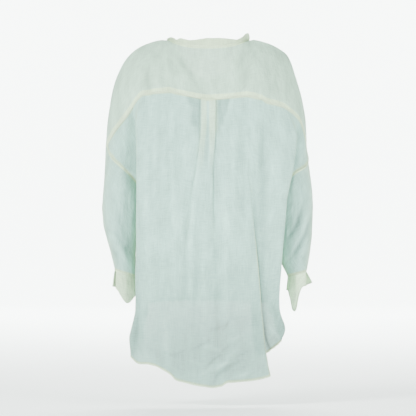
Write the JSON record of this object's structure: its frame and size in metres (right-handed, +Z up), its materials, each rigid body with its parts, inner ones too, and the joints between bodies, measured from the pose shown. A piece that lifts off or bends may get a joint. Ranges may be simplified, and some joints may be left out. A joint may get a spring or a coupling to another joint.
{
  "type": "beach cover-up shirt",
  "caption": "Oversized sheer gauze shirt with a dropped back yoke, box pleat, stand collar, buttoned front, long sleeves with open cuffs, and a curved back hem that hangs lower than the front.",
  "frame": {"origin": "midway between the two neck points of the yoke, where the shoulders carry the shirt", "axes": "+X to the wearer's right, +Y out of the front, +Z up; the back faces -Y"},
  "size_m": [0.5492, 0.2666, 0.9179],
  "materials": {
    "sheer_gauze": "matte",
    "double_gauze": "matte",
    "shell_button": "satin"
  },
  "bodies": {
    "root": {"back": "sheer_gauze", "front_left": "sheer_gauze", "front_right": "sheer_gauze", "sleeve_left": "sheer_gauze", "sleeve_right": "sheer_gauze", "yoke": "double_gauze", "collar": "double_gauze", "placket": "double_gauze", "cuff_left": "double_gauze", "cuff_right": "double_gauze", "button_1": "shell_button", "button_2": "shell_button", "button_3": "shell_button", "button_4": "shell_button", "button_5": "shell_button", "button_6": "shell_button", "button_7": "shell_button", "cuff_button_left": "shell_button", "cuff_button_right": "shell_button"}
  },
  "joints": []
}
